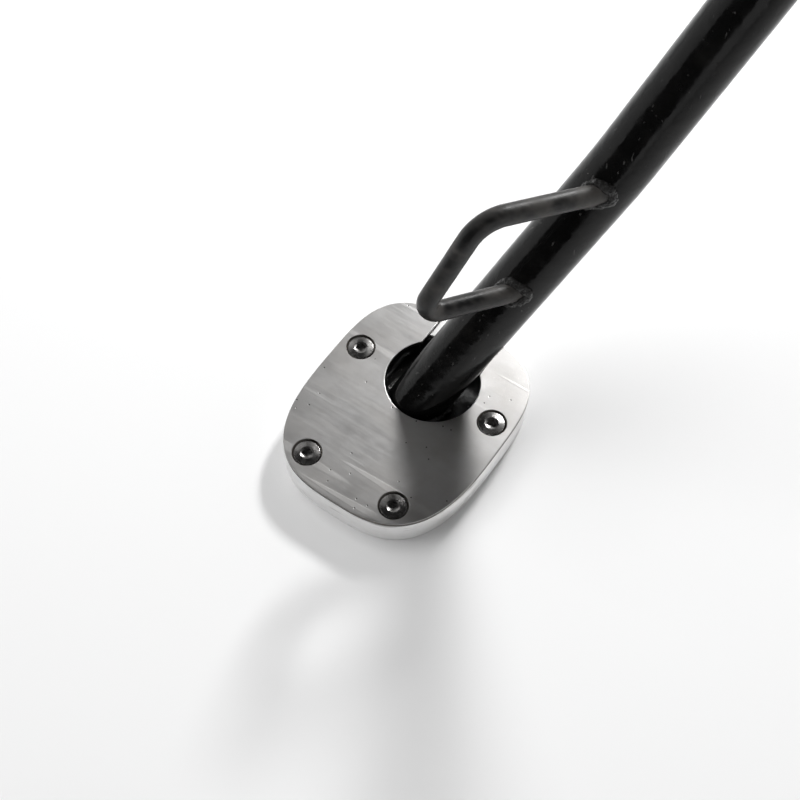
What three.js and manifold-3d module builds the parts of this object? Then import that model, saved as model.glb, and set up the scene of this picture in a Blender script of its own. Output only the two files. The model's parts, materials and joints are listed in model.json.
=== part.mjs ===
// Motorcycle side stand (kickstand) with a bolted-on foot enlarger.
// Millimetres, +Z up, +X towards the rear wheel, +Y inboard (towards the motorcycle).
// The origin is the centre of the bracket's mounting face. The stand is drawn deployed,
// with its foot flat on the ground and the motorcycle leaning over onto it.
import * as THREE from 'three';
import { mergeVertices } from 'three/addons/utils/BufferGeometryUtils.js';
import Module from 'manifold-3d';

const wasm = await Module();
wasm.setup();

// ---------------------------------------------------------------- driving dimensions
const gap = 0.3; // left between a piece and the neighbour that cuts it
const degree = Math.PI / 180;

// Directions
const motorcycleLean = 10; // degrees that the motorcycle leans over onto the stand
const upperLeg = { tilt: 35.7, heading: 64.4 }; // degrees off vertical, and from +X in plan
const lowerLeg = { tilt: 37.1, heading: 60.7 };
const stowedLeg = new THREE.Vector3(0.985, -0.15, 0.08); // where the leg points when stowed
const travel = 100; // degrees from deployed to stowed

// Pivot and leg
const pivot = new THREE.Vector3(46, -46, -50);
const upperLegLength = 205; // pivot to the bend
const lowerLegLength = 131; // bend to the foot
const tube = { radius: 11.9, wall: 2.6, start: 50, bendLength: 18, sides: 24 };
const pin = { radius: 7, headRadius: 12, headHeight: 5.4, washer: 1.5, nutAcross: 19, nutHeight: 7 };
const lug = { thickness: 12, radius: 20, bush: 9, rootFront: 24, rootRear: 14, reach: 104 };
const fork = { slot: 12.8, ear: 7, radius: 17, width: 28, slotDepth: 24, neckEnd: 42 };
const bolts = { spacing: 92, radius: 5, across: 16, head: 6.4, flange: 11, grip: 28 };
const mountPlate = { width: 128, height: 44, thickness: 10 };

// Springs
const springPlane = 32; // height of the spring axis over the middle of the fork
const upperPostReach = 30; // pivot to the bracket's spring post
const lowerPostReach = 70; // pivot to the leg's spring post
const post = { radius: 4.5, collar: 6.5, head: 7, end: 38 };
const outerSpring = { wire: 3.2, coil: 17, turns: 12, steps: 9, sides: 6, hookHeight: -1.9 };
const innerSpring = { wire: 2.2, coil: 10, turns: 15, steps: 8, sides: 5, hookHeight: 1.9 };

// Kick loop: distances along the leg from its foot end, and out from the leg's axis
const loop = {
  radius: 4,
  sideOffset: 7,
  lowerWeld: [74.4, 5],
  lowerCorner: [52, 42.9],
  upperCorner: [99.9, 49],
  upperWeld: [125.2, 5],
  lowerBend: 6.5,
  upperBend: 14,
};

// Foot
const plate = {
  halfWidth: 41.4,
  toeLength: 57.5,
  heelLength: 43,
  middle: -8,
  toePower: 3,
  heelPower: 3.3,
  thickness: 2,
};
const base = { thickness: 12, floor: 2.5, chamfer: 0.6 };
const keyhole = { x: 1.6, y: 3.2, radius: 19.8, slotLeft: -12.8, slotRight: 16 };
const stockFoot = {
  halfWidth: 22.5,
  toe: -30,
  heel: 23.2,
  heelCorner: 14,
  floor: 4,
  rim: 2.4,
  clearance: 0.6,
};
const screws = [[-32.5, 0], [32.5, 0], [-20.9, -53.7], [20.9, -53.7]];
const screw = { head: 6, shank: 2.85, length: 11.7, sunk: 0.3, socket: 4, socketDepth: 2.4 };
const tubeFootPoint = new THREE.Vector3(-0.8, -5.4, -8); // leg axis at its foot, from the foot's centre

// ---------------------------------------------------------------- materials
function finish(color, roughness, metalness) {
  return new THREE.MeshStandardMaterial({ color, roughness, metalness });
}

const blackPaint = finish(0x111112, 0.32, 0.2);
const blackWeld = finish(0x1a1a1a, 0.5, 0.3);
const stainless = finish(0xc9c7c2, 0.38, 1);
const aluminium = finish(0xd2d3d4, 0.42, 1);
const darkSteel = finish(0x6d6c69, 0.35, 1);
const zincSteel = finish(0xa9abad, 0.35, 1);
const bronze = finish(0xa07a45, 0.4, 1);
const springSteel = finish(0x8e9092, 0.38, 1);

// ---------------------------------------------------------------- solids
function toSolid(geometry) {
  const bare = geometry.index ? geometry.toNonIndexed() : geometry.clone();
  bare.deleteAttribute('normal');
  bare.deleteAttribute('uv');
  const merged = mergeVertices(bare, 1e-4);
  return new wasm.Manifold(new wasm.Mesh({
    numProp: 3,
    vertProperties: merged.attributes.position.array,
    triVerts: Uint32Array.from(merged.index.array),
  }));
}

function toMesh(name, solid, material) {
  const data = solid.getMesh();
  const geometry = new THREE.BufferGeometry();
  geometry.setAttribute('position', new THREE.BufferAttribute(data.vertProperties, 3));
  geometry.setIndex(new THREE.BufferAttribute(data.triVerts, 1));
  geometry.computeVertexNormals();
  const mesh = new THREE.Mesh(geometry, material);
  mesh.name = name;
  return mesh;
}

function moved(geometry, x, y, z) {
  return geometry.translate(x, y, z);
}

// An upright cylinder from z = low to z = high.
function cylinder(radius, low, high, sides = 24) {
  const geometry = new THREE.CylinderGeometry(radius, radius, high - low, sides);
  geometry.rotateX(Math.PI / 2);
  return moved(geometry, 0, 0, (low + high) / 2);
}

function box(low, high) {
  const size = [0, 1, 2].map((i) => high[i] - low[i]);
  const geometry = new THREE.BoxGeometry(...size);
  return moved(geometry, (low[0] + high[0]) / 2, (low[1] + high[1]) / 2, (low[2] + high[2]) / 2);
}

// A turned piece: profile points are [radius, z], from the axis to the axis.
function turned(profile, sides = 24) {
  const points = profile.map(([radius, z]) => new THREE.Vector2(radius, z));
  const geometry = new THREE.LatheGeometry(points, sides);
  geometry.rotateX(Math.PI / 2);
  return geometry;
}

// A ring: a turned profile that closes on itself away from the axis.
function ring(inner, outer, low, high, sides = 24) {
  return turned([[inner, low], [outer, low], [outer, high], [inner, high], [inner, low]], sides);
}

function hexagon(across, low, high) {
  return cylinder(across / Math.sqrt(3), low, high, 6);
}

function prism(points, low, high) {
  const shape = new THREE.Shape(points.map(([x, y]) => new THREE.Vector2(x, y)));
  const geometry = new THREE.ExtrudeGeometry(shape, { depth: high - low, bevelEnabled: false });
  return moved(geometry, 0, 0, low);
}

// A flat plate with both edges chamfered by the same amount.
function chamferedPrism(points, low, high, chamfer) {
  const shape = new THREE.Shape(points.map(([x, y]) => new THREE.Vector2(x, y)));
  const geometry = new THREE.ExtrudeGeometry(shape, {
    depth: high - low - 2 * chamfer,
    bevelSize: chamfer,
    bevelThickness: chamfer,
    bevelOffset: -chamfer,
    bevelSegments: 1,
  });
  return moved(geometry, 0, 0, low + chamfer);
}

function arcPoints(x, y, radius, from, to, steps) {
  const points = [];
  for (let i = 0; i <= steps; i += 1) {
    const angle = (from + (to - from) * i / steps) * degree;
    points.push([x + radius * Math.cos(angle), y + radius * Math.sin(angle)]);
  }
  return points;
}

// A path that a section is swept along, with one section at each of its points.
class Stations extends THREE.Curve {
  constructor(points) {
    super();
    this.points = points;
  }

  getPoint(t, target = new THREE.Vector3()) {
    const last = this.points.length - 1;
    const index = Math.min(Math.floor(t * last + 1e-9), last - 1);
    return target.lerpVectors(this.points[index], this.points[index + 1], t * last - index);
  }

  getPointAt(t, target) {
    return this.getPoint(t, target);
  }

  getTangentAt(t, target = new THREE.Vector3()) {
    const last = this.points.length - 1;
    const index = Math.round(t * last);
    const here = this.points[index];
    const before = index > 0 ? here.clone().sub(this.points[index - 1]).normalize() : null;
    const after = index < last ? this.points[index + 1].clone().sub(here).normalize() : null;
    return target.copy(before ?? after).add(after ?? before).normalize();
  }
}

function sweep(points, radius, sides, holeRadius = 0) {
  const circle = (r) => arcPoints(0, 0, r, 0, 360, sides).slice(0, -1)
    .map(([x, y]) => new THREE.Vector2(x, y));
  const shape = new THREE.Shape(circle(radius));
  if (holeRadius > 0) {
    shape.holes.push(new THREE.Path(circle(holeRadius).reverse()));
  }
  return new THREE.ExtrudeGeometry(shape, {
    steps: points.length - 1,
    extrudePath: new Stations(points),
  });
}

// Straight runs joined by round bends: corner i turns with radii[i - 1].
function bentPath(corners, radii, steps) {
  const path = [corners[0]];
  radii.forEach((radius, i) => {
    const corner = corners[i + 1];
    const back = corners[i].clone().sub(corner).normalize();
    const forward = corners[i + 2].clone().sub(corner).normalize();
    const half = back.angleTo(forward) / 2;
    const centre = back.clone().add(forward).normalize();
    centre.multiplyScalar(radius / Math.sin(half)).add(corner);
    const first = back.multiplyScalar(radius / Math.tan(half)).add(corner).sub(centre);
    const last = forward.multiplyScalar(radius / Math.tan(half)).add(corner).sub(centre);
    const sweepAngle = first.angleTo(last);
    for (let step = 0; step <= steps; step += 1) {
      const t = step / steps;
      const a = Math.sin((1 - t) * sweepAngle) / Math.sin(sweepAngle);
      const b = Math.sin(t * sweepAngle) / Math.sin(sweepAngle);
      path.push(centre.clone().addScaledVector(first, a).addScaledVector(last, b));
    }
  });
  path.push(corners[corners.length - 1]);
  return path;
}

// ---------------------------------------------------------------- frames
function direction({ tilt, heading }) {
  return new THREE.Vector3(
    Math.sin(tilt * degree) * Math.cos(heading * degree),
    Math.sin(tilt * degree) * Math.sin(heading * degree),
    Math.cos(tilt * degree),
  );
}

function frameAt(origin, x, y, z) {
  return new THREE.Matrix4().makeBasis(x, y, z).setPosition(origin);
}

const upperUp = direction(upperLeg);
const lowerUp = direction(lowerLeg);
const legDown = upperUp.clone().negate();
const axle = legDown.clone().cross(stowedLeg).normalize(); // pivot axis, outboard and up
const swing = axle.clone().cross(legDown); // the way the leg moves as it stows
const bend = pivot.clone().addScaledVector(upperUp, -upperLegLength);
const legFoot = bend.clone().addScaledVector(lowerUp, -lowerLegLength);
const footCentre = legFoot.clone().sub(tubeFootPoint);

// The leg's own frame at the pivot: X down the leg, Y the way it stows, Z along the axle.
const legFrame = frameAt(pivot, legDown, swing, axle);

// The lug's frame: X from the pivot towards the mounting plate, Z along the axle.
const lugAngle = (travel / 2 + 180) * degree;
const toMount = legDown.clone().multiplyScalar(Math.cos(lugAngle));
toMount.addScaledVector(swing, Math.sin(lugAngle));
const lugFrame = frameAt(pivot, toMount, axle.clone().cross(toMount), axle);

// The mounting plate's frame: X rearward, Y out of the mounting face, Z up the motorcycle.
const plateFrame = new THREE.Matrix4().makeRotationX(motorcycleLean * degree);

// ---------------------------------------------------------------- bracket
function mountBracket() {
  const { width, height, thickness } = mountPlate;
  const end = width / 2 - height / 2;
  const outline = [
    ...arcPoints(end, 0, height / 2, -90, 90, 10),
    ...arcPoints(-end, 0, height / 2, 90, 270, 10),
  ];
  const slab = prism(outline, 0, thickness);
  slab.rotateX(Math.PI / 2);
  let plateSolid = toSolid(slab);
  for (const side of [-1, 1]) {
    const hole = cylinder(bolts.radius + 0.4, -1, thickness + 1);
    hole.rotateX(Math.PI / 2);
    plateSolid = plateSolid.subtract(toSolid(moved(hole, side * bolts.spacing / 2, 0, 0)));
  }
  plateSolid = plateSolid.transform(plateFrame.toArray());

  // The lug is symmetric about its X axis. Its two horns are the stops: the side of the leg's
  // neck comes to rest on one when the stand is deployed and on the other when it is stowed.
  const turn = (180 - travel / 2) * degree;
  const alongNeck = new THREE.Vector2(Math.cos(turn), Math.sin(turn));
  const offNeck = new THREE.Vector2(Math.sin(turn), -Math.cos(turn));
  const onStop = (distance) => {
    const side = fork.width / 2 + gap;
    return [
      alongNeck.x * distance + offNeck.x * side,
      alongNeck.y * distance + offNeck.y * side,
    ];
  };
  const horn = ([tipX, tipY]) => [
    ...arcPoints(0, 0, lug.radius, 180, 108, 6),
    onStop(fork.slotDepth - 3),
    [tipX, tipY],
    [tipX + 7, tipY + 4],
    [12, tipY],
  ];
  const half = horn(onStop(36));
  const frontSide = [...half, [40, lug.rootFront + 2], [lug.reach, lug.rootFront]];
  const rearSide = [...half, [34, lug.rootRear + 2], [lug.reach, lug.rootRear]];
  const mirrored = rearSide.slice(1).reverse().map(([x, y]) => [x, -y]);
  const lugOutline = [...frontSide, ...mirrored].reverse();
  let lugSolid = toSolid(prism(lugOutline, -lug.thickness / 2, lug.thickness / 2));
  lugSolid = lugSolid.subtract(toSolid(cylinder(lug.bush + gap, -20, 20)));
  const postHole = cylinder(post.radius + gap, -20, 20, 16);
  lugSolid = lugSolid.subtract(toSolid(moved(postHole, upperPostReach, 0, 0)));
  lugSolid = lugSolid.transform(lugFrame.toArray());
  const behind = toSolid(box([-200, 0, -200], [200, 200, 200])).transform(plateFrame.toArray());
  lugSolid = lugSolid.subtract(behind);
  return toMesh('mount_bracket', plateSolid.add(lugSolid), blackPaint);
}

function bracketBolt(name) {
  const top = mountPlate.thickness + 2.2;
  let solid = toSolid(turned([
    [0, -(bolts.grip - mountPlate.thickness)],
    [bolts.radius - 0.8, -(bolts.grip - mountPlate.thickness)],
    [bolts.radius, -(bolts.grip - mountPlate.thickness) + 0.8],
    [bolts.radius, top],
    [bolts.flange - 1, top],
    [bolts.flange - 1, top + 1],
    [bolts.flange - 2, top + 2],
    [0, top + 2],
  ]));
  solid = solid.add(toSolid(hexagon(bolts.across, top + 1, top + bolts.head)));
  return toMesh(name, solid, zincSteel);
}

function bracketGroup() {
  const group = new THREE.Group();
  group.add(mountBracket());
  const fasteners = new THREE.Group();
  fasteners.rotation.x = motorcycleLean * degree;
  ['front', 'rear'].forEach((end, i) => {
    const place = new THREE.Group();
    place.position.set((i - 0.5) * bolts.spacing, 0, 0);
    place.rotation.x = Math.PI / 2;
    place.add(bracketBolt(`bracket_bolt_${end}`));
    const low = mountPlate.thickness + 0.1;
    const washer = toSolid(ring(bolts.radius + gap, bolts.flange, low, low + 2));
    place.add(toMesh(`bracket_washer_${end}`, washer, zincSteel));
    fasteners.add(place);
  });
  group.add(fasteners);

  const onLug = new THREE.Group();
  onLug.applyMatrix4(lugFrame);
  const bushHalf = lug.thickness / 2 + 0.1;
  const bush = toSolid(ring(pin.radius + 0.2, lug.bush, -bushHalf, bushHalf));
  onLug.add(toMesh('pivot_bushing', bush, bronze));
  const upperPost = toSolid(turned([
    [0, -lug.thickness / 2 - 1.5],
    [post.radius - 1, -lug.thickness / 2 - 1.5],
    [post.radius, -lug.thickness / 2],
    [post.radius, lug.thickness / 2 + gap],
    [post.collar, lug.thickness / 2 + gap],
    [post.collar, springPlane - 5],
    [post.radius, springPlane - 4],
    [post.radius, springPlane + 4],
    [post.head, springPlane + 4.6],
    [post.head, post.end],
    [post.head - 1.2, post.end + 1],
    [0, post.end + 1],
  ], 20));
  const upperPostMesh = toMesh('spring_post_upper', upperPost, zincSteel);
  upperPostMesh.position.x = upperPostReach;
  onLug.add(upperPostMesh);
  group.add(onLug);
  return group;
}

// ---------------------------------------------------------------- leg
function legHead() {
  const halfWide = fork.slot / 2 + fork.ear;
  const outline = [
    ...arcPoints(0, 0, fork.radius, 75, 285, 14),
    [fork.slotDepth - 4, -fork.width / 2],
    [fork.neckEnd, -fork.width / 2 + 2],
    [fork.neckEnd, fork.width / 2 - 2],
    [fork.slotDepth - 4, fork.width / 2],
  ];
  let solid = toSolid(prism(outline, -halfWide, halfWide));
  const slot = box([-40, -40, -fork.slot / 2], [fork.slotDepth, 40, fork.slot / 2]);
  solid = solid.subtract(toSolid(slot));
  solid = solid.subtract(toSolid(cylinder(pin.radius + 0.2, -40, 40)));
  const shank = turned([
    [0, 34],
    [13.4, 34],
    [13.4, 44],
    [tube.radius - 1, tube.start - gap],
    [tube.radius - tube.wall - gap, tube.start - gap],
    [tube.radius - tube.wall - gap, tube.start + 12],
    [tube.radius - tube.wall - 1.5, tube.start + 13.5],
    [0, tube.start + 13.5],
  ]);
  shank.rotateY(Math.PI / 2);
  return toMesh('leg_head', solid.add(toSolid(shank)), blackPaint);
}

function pivotBolt() {
  const ear = fork.slot / 2 + fork.ear;
  const head = ear + pin.washer + 0.2;
  const tip = -(ear + pin.washer + pin.nutHeight + 3);
  let solid = toSolid(turned([
    [0, tip],
    [pin.radius - 2.2, tip],
    [pin.radius - 1.2, tip + 1],
    [pin.radius - 1.2, -ear],
    [pin.radius, -ear],
    [pin.radius, head],
    [pin.headRadius, head],
    [pin.headRadius, head + 2],
    [pin.headRadius - 2.5, head + pin.headHeight - 0.7],
    [pin.headRadius - 5, head + pin.headHeight],
    [0, head + pin.headHeight],
  ]));
  solid = solid.subtract(toSolid(hexagon(8, head + 1, head + pin.headHeight + 1)));
  return toMesh('pivot_bolt', solid, zincSteel);
}

function pivotNut() {
  const top = -(fork.slot / 2 + fork.ear + pin.washer + 0.3);
  let solid = toSolid(hexagon(pin.nutAcross, top - pin.nutHeight, top));
  solid = solid.subtract(toSolid(cylinder(pin.radius - 1, -60, 0)));
  return toMesh('pivot_nut', solid, zincSteel);
}

function pivotWasher(name, side) {
  const inner = fork.slot / 2 + fork.ear + 0.1;
  const faces = [side * inner, side * (inner + pin.washer)].sort((a, b) => a - b);
  const solid = toSolid(ring(pin.radius + gap, pin.headRadius - 0.5, ...faces));
  return toMesh(name, solid, zincSteel);
}

function lowerSpringPost() {
  const profile = [
    [0, tube.radius - 3],
    [post.collar + 1.5, tube.radius - 3],
    [post.collar + 1.5, tube.radius + 1.5],
    [post.collar, tube.radius + 3.5],
    [post.collar, springPlane - 5],
    [post.radius, springPlane - 4],
    [post.radius, springPlane + 4],
    [post.head, springPlane + 4.6],
    [post.head, post.end],
    [post.head - 1.2, post.end + 1],
    [0, post.end + 1],
  ];
  let solid = toSolid(moved(turned(profile, 20), lowerPostReach, 0, 0));
  const leg = cylinder(tube.radius + gap, 0, 200, tube.sides);
  leg.rotateY(Math.PI / 2);
  solid = solid.subtract(toSolid(leg));
  return toMesh('spring_post_lower', solid, blackPaint);
}

function headWeld() {
  const bead = turned([
    [tube.radius + gap, tube.start - 1],
    [tube.radius + 1, tube.start - 1.6],
    [tube.radius + 2, tube.start - 0.6],
    [tube.radius + 2.2, tube.start + 1.6],
    [tube.radius + 1.4, tube.start + 3.4],
    [tube.radius + gap, tube.start + 4],
    [tube.radius + gap, tube.start - 1],
  ]);
  bead.rotateY(Math.PI / 2);
  return toMesh('head_weld', toSolid(bead), blackWeld);
}

// The whole leg tube's centre line, from the head down past the top of the stock foot.
function legPath() {
  const top = pivot.clone().addScaledVector(legDown, tube.start);
  const bottom = legFoot.clone().addScaledVector(lowerUp, -14);
  const bendAngle = upperUp.angleTo(lowerUp);
  const bendRadius = tube.bendLength / bendAngle;
  return bentPath([top, bend, bottom], [bendRadius], 3);
}

function stockFootTop() {
  return footCentre.z - plate.thickness - base.thickness + base.floor + stockFoot.floor;
}

function belowFoot(height) {
  return toSolid(box([-500, -500, -900], [500, 500, height]));
}

function legTube() {
  const hole = tube.radius - tube.wall;
  let solid = toSolid(sweep(legPath(), tube.radius, tube.sides, hole));
  solid = solid.subtract(belowFoot(stockFootTop() + gap));
  return toMesh('leg_tube', solid, blackPaint);
}

function legCutter() {
  return toSolid(sweep(legPath(), tube.radius + gap, tube.sides));
}

// ---------------------------------------------------------------- kick loop
// Its frame: X up the lower leg, Y out from it (outboard and up), Z square to the loop.
const loopOutward = new THREE.Vector3(-0.546, -0.825, 0.144);
loopOutward.addScaledVector(lowerUp, -loopOutward.dot(lowerUp)).normalize();
const loopNormal = lowerUp.clone().cross(loopOutward);
const loopFrame = frameAt(legFoot, lowerUp, loopOutward, loopNormal);

function kickLoop() {
  const places = [loop.lowerWeld, loop.lowerCorner, loop.upperCorner, loop.upperWeld];
  const corners = places.map(([x, y]) => new THREE.Vector3(x, y, loop.sideOffset));
  const path = bentPath(corners, [loop.lowerBend, loop.upperBend], 6);
  let solid = toSolid(sweep(path, loop.radius, 12)).transform(loopFrame.toArray());
  solid = solid.subtract(legCutter());
  return toMesh('kick_loop', solid, blackPaint);
}

function loopWeld(name, foot, corner) {
  const start = new THREE.Vector3(...foot, loop.sideOffset);
  const along = new THREE.Vector3(...corner, loop.sideOffset).sub(start).normalize();
  const at = (distance) => start.clone().addScaledVector(along, distance);
  const collar = toSolid(turned([
    [0, 0],
    [loop.radius + 3.4, 0],
    [loop.radius + 3, 8],
    [loop.radius + 1.6, 11],
    [0, 12.5],
  ], 16));
  const turn = new THREE.Quaternion().setFromUnitVectors(new THREE.Vector3(0, 0, 1), along);
  const place = new THREE.Matrix4().makeRotationFromQuaternion(turn).setPosition(at(0));
  let solid = collar.transform(place.toArray());
  solid = solid.subtract(toSolid(sweep([at(-10), at(30)], loop.radius + gap, 12)));
  solid = solid.transform(loopFrame.toArray()).subtract(legCutter());
  const pieces = solid.decompose();
  pieces.sort((a, b) => b.volume() - a.volume());
  return toMesh(name, pieces[0], blackWeld);
}

// ---------------------------------------------------------------- foot
// Two half superellipses that meet at the plate's widest line.
function footOutline(inset, steps) {
  const points = [];
  for (let i = 0; i < 4 * steps; i += 1) {
    const angle = (i / steps) * 90 * degree;
    const c = Math.cos(angle);
    const s = Math.sin(angle);
    const heel = s >= 0;
    const power = heel ? plate.heelPower : plate.toePower;
    const length = (heel ? plate.heelLength : plate.toeLength) - inset;
    const x = (plate.halfWidth - inset) * Math.sign(c) * Math.abs(c) ** (2 / power);
    const y = plate.middle + length * Math.sign(s) * Math.abs(s) ** (2 / power);
    points.push([x, y]);
  }
  return points;
}

// Round at the toe and blunter at the heel, grown outwards by extra.
function stockFootOutline(extra) {
  const { halfWidth, toe, heel, heelCorner } = stockFoot;
  const x = keyhole.x;
  const side = halfWidth - heelCorner;
  const heelCentre = heel - heelCorner;
  return [
    ...arcPoints(x + side, heelCentre, heelCorner + extra, 0, 90, 7),
    ...arcPoints(x - side, heelCentre, heelCorner + extra, 90, 180, 7),
    ...arcPoints(x, toe + halfWidth, halfWidth + extra, 180, 360, 12),
  ];
}

function screwProfile(clearance, top) {
  const { head, shank, length, sunk } = screw;
  return [
    [0, -length - clearance],
    [shank + clearance, -length - clearance],
    [shank + clearance, -sunk - (head - shank)],
    [head + clearance, -sunk - 0.01],
    [head + clearance, top],
    [0, top],
  ];
}

function cutForScrews(solid) {
  let result = solid;
  for (const [x, y] of screws) {
    result = result.subtract(toSolid(moved(turned(screwProfile(0.2, 3)), x, y, 0)));
  }
  return result;
}

function footTopPlate() {
  const outline = footOutline(0, 12);
  let solid = toSolid(chamferedPrism(outline, -plate.thickness, 0, 0.3));
  const hole = cylinder(keyhole.radius, -10, 10, 40);
  solid = solid.subtract(toSolid(moved(hole, keyhole.x, keyhole.y, 0)));
  const slot = box([keyhole.slotLeft, keyhole.y, -10], [keyhole.slotRight, 100, 10]);
  solid = solid.subtract(toSolid(slot));
  return toMesh('foot_top_plate', cutForScrews(solid), stainless);
}

function footBasePlate() {
  const outline = footOutline(0, 12);
  const top = -plate.thickness;
  const bottom = top - base.thickness;
  let solid = toSolid(chamferedPrism(outline, bottom, top, base.chamfer));
  const pocket = prism(stockFootOutline(stockFoot.clearance), bottom + base.floor, 5);
  solid = solid.subtract(toSolid(pocket));
  return toMesh('foot_base_plate', cutForScrews(solid), aluminium);
}

// The stand's own foot: a pressed dish whose turned-up rim the top plate clamps. The leg
// leans over the rim at the heel, where the rim is notched.
function stockFootMesh() {
  const bottom = -plate.thickness - base.thickness + base.floor;
  const rimTop = -plate.thickness - 0.1;
  const outside = toSolid(prism(stockFootOutline(0), bottom, rimTop));
  const inside = prism(stockFootOutline(-stockFoot.rim), bottom + stockFoot.floor, 5);
  const back = footCentre.clone().negate().toArray();
  const legInFoot = legCutter().translate(back);
  const dish = outside.subtract(toSolid(inside)).subtract(legInFoot);
  return toMesh('stock_foot', dish, blackPaint);
}

function footWeld() {
  const low = stockFootTop() + gap;
  const height = 3.4;
  const atHeight = (low + height / 2 - legFoot.z) / lowerUp.z;
  const centre = legFoot.clone().addScaledVector(lowerUp, atHeight);
  const long = tube.radius / lowerUp.z + 3.2;
  const short = tube.radius + 3.2;
  const outline = arcPoints(0, 0, 1, 0, 360, 28).slice(0, -1).map(([x, y]) => [x * long, y * short]);
  const ellipse = chamferedPrism(outline, -height / 2, height / 2, 1.2);
  ellipse.rotateZ(lowerLeg.heading * degree);
  let solid = toSolid(moved(ellipse, centre.x, centre.y, centre.z));
  const insideRim = prism(stockFootOutline(-stockFoot.rim - gap), -50, 50);
  solid = solid.intersect(toSolid(insideRim).translate(footCentre.toArray()));
  solid = solid.subtract(belowFoot(low)).subtract(legCutter());
  return toMesh('foot_weld', solid, blackWeld);
}

function footScrew(name) {
  let solid = toSolid(turned(screwProfile(0, -screw.sunk)));
  const floor = -screw.sunk - screw.socketDepth;
  solid = solid.subtract(toSolid(hexagon(screw.socket, floor, 1)));
  return toMesh(name, solid, darkSteel);
}

function footGroup() {
  const group = new THREE.Group();
  group.position.copy(footCentre);
  group.add(footTopPlate(), footBasePlate(), stockFootMesh());
  screws.forEach(([x, y], i) => {
    const mesh = footScrew(`foot_screw_${i + 1}`);
    mesh.position.set(x, y, 0);
    group.add(mesh);
  });
  return group;
}

function legGroup() {
  const group = new THREE.Group();
  const head = new THREE.Group();
  head.applyMatrix4(legFrame);
  head.add(legHead(), pivotBolt(), pivotNut());
  head.add(pivotWasher('pivot_washer_outer', 1), pivotWasher('pivot_washer_inner', -1));
  head.add(lowerSpringPost(), headWeld());
  group.add(head, legTube(), kickLoop());
  group.add(loopWeld('loop_weld_lower', loop.lowerWeld, loop.lowerCorner));
  group.add(loopWeld('loop_weld_upper', loop.upperWeld, loop.upperCorner));
  group.add(footWeld(), footGroup());
  return group;
}

// ---------------------------------------------------------------- springs
// Their frame: origin on the bracket's post, X towards the leg's post, Z along the axle.
const upperPostPlace = pivot.clone().addScaledVector(toMount, upperPostReach);
upperPostPlace.addScaledVector(axle, springPlane);
const lowerPostPlace = pivot.clone().addScaledVector(legDown, lowerPostReach);
lowerPostPlace.addScaledVector(axle, springPlane);
const springAlong = lowerPostPlace.clone().sub(upperPostPlace);
const springLength = springAlong.length();
springAlong.normalize();
const springFrame = frameAt(upperPostPlace, springAlong, axle.clone().cross(springAlong), axle);

function extensionSpring(name, { wire, coil, turns, steps, sides, hookHeight }) {
  const radius = coil / 2;
  const hook = post.radius + 0.5 + wire / 2;
  const coilStart = 15;
  const coilLength = springLength - 2 * coilStart;
  const firstHook = [];
  for (let angle = -70; angle >= -290; angle -= 22) {
    const x = hook * Math.cos(angle * degree);
    const y = hook * Math.sin(angle * degree);
    firstHook.push(new THREE.Vector3(x, y, hookHeight));
  }
  const lastHook = firstHook.map((p) => new THREE.Vector3(springLength - p.x, p.y, p.z)).reverse();
  const body = [];
  for (let i = 0; i <= turns * steps; i += 1) {
    const angle = (i / steps) * 360 * degree;
    const x = coilStart + coilLength * i / (turns * steps);
    body.push(new THREE.Vector3(x, radius * Math.cos(angle), radius * Math.sin(angle)));
  }
  const solid = toSolid(sweep([...firstHook, ...body, ...lastHook], wire / 2, sides));
  return toMesh(name, solid, springSteel);
}

function springGroup() {
  const group = new THREE.Group();
  group.applyMatrix4(springFrame);
  group.add(extensionSpring('outer_spring', outerSpring));
  group.add(extensionSpring('inner_spring', innerSpring));
  return group;
}

// ---------------------------------------------------------------- the whole stand
const kickstand = new THREE.Group();
kickstand.add(bracketGroup(), legGroup(), springGroup());
kickstand.updateMatrixWorld(true);

export default kickstand;
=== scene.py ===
"""The looks of a motorcycle side stand with a bolted-on foot enlarger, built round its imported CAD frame.

Every piece is placed from the frame: the foot's plates give the foot's centre, the record's joints
give the pivot and its axis, and the leg's two directions are the same angles as in the CAD.
"""
import json
import math

import bmesh
import bpy
from mathutils import Matrix, Vector, noise
from mathutils.geometry import tessellate_polygon


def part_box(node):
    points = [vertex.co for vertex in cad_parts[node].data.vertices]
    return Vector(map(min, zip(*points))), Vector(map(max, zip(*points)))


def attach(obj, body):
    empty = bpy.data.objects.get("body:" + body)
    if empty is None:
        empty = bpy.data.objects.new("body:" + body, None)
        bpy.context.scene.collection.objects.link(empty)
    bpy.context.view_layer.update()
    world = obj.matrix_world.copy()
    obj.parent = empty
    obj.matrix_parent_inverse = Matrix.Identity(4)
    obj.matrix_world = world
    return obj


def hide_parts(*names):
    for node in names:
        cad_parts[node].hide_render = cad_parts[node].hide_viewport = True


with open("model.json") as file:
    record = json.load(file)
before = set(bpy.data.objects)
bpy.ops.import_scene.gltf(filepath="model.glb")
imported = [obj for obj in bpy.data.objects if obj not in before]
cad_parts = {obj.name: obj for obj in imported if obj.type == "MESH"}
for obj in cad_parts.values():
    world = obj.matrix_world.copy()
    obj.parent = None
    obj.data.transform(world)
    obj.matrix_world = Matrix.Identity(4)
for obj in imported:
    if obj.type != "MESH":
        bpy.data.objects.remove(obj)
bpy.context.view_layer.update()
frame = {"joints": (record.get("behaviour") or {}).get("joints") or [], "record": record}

MM = 0.001
UP = Vector((0, 0, 1))
FINE = 96  # points round a fastener, a tube and other pieces seen close up

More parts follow.
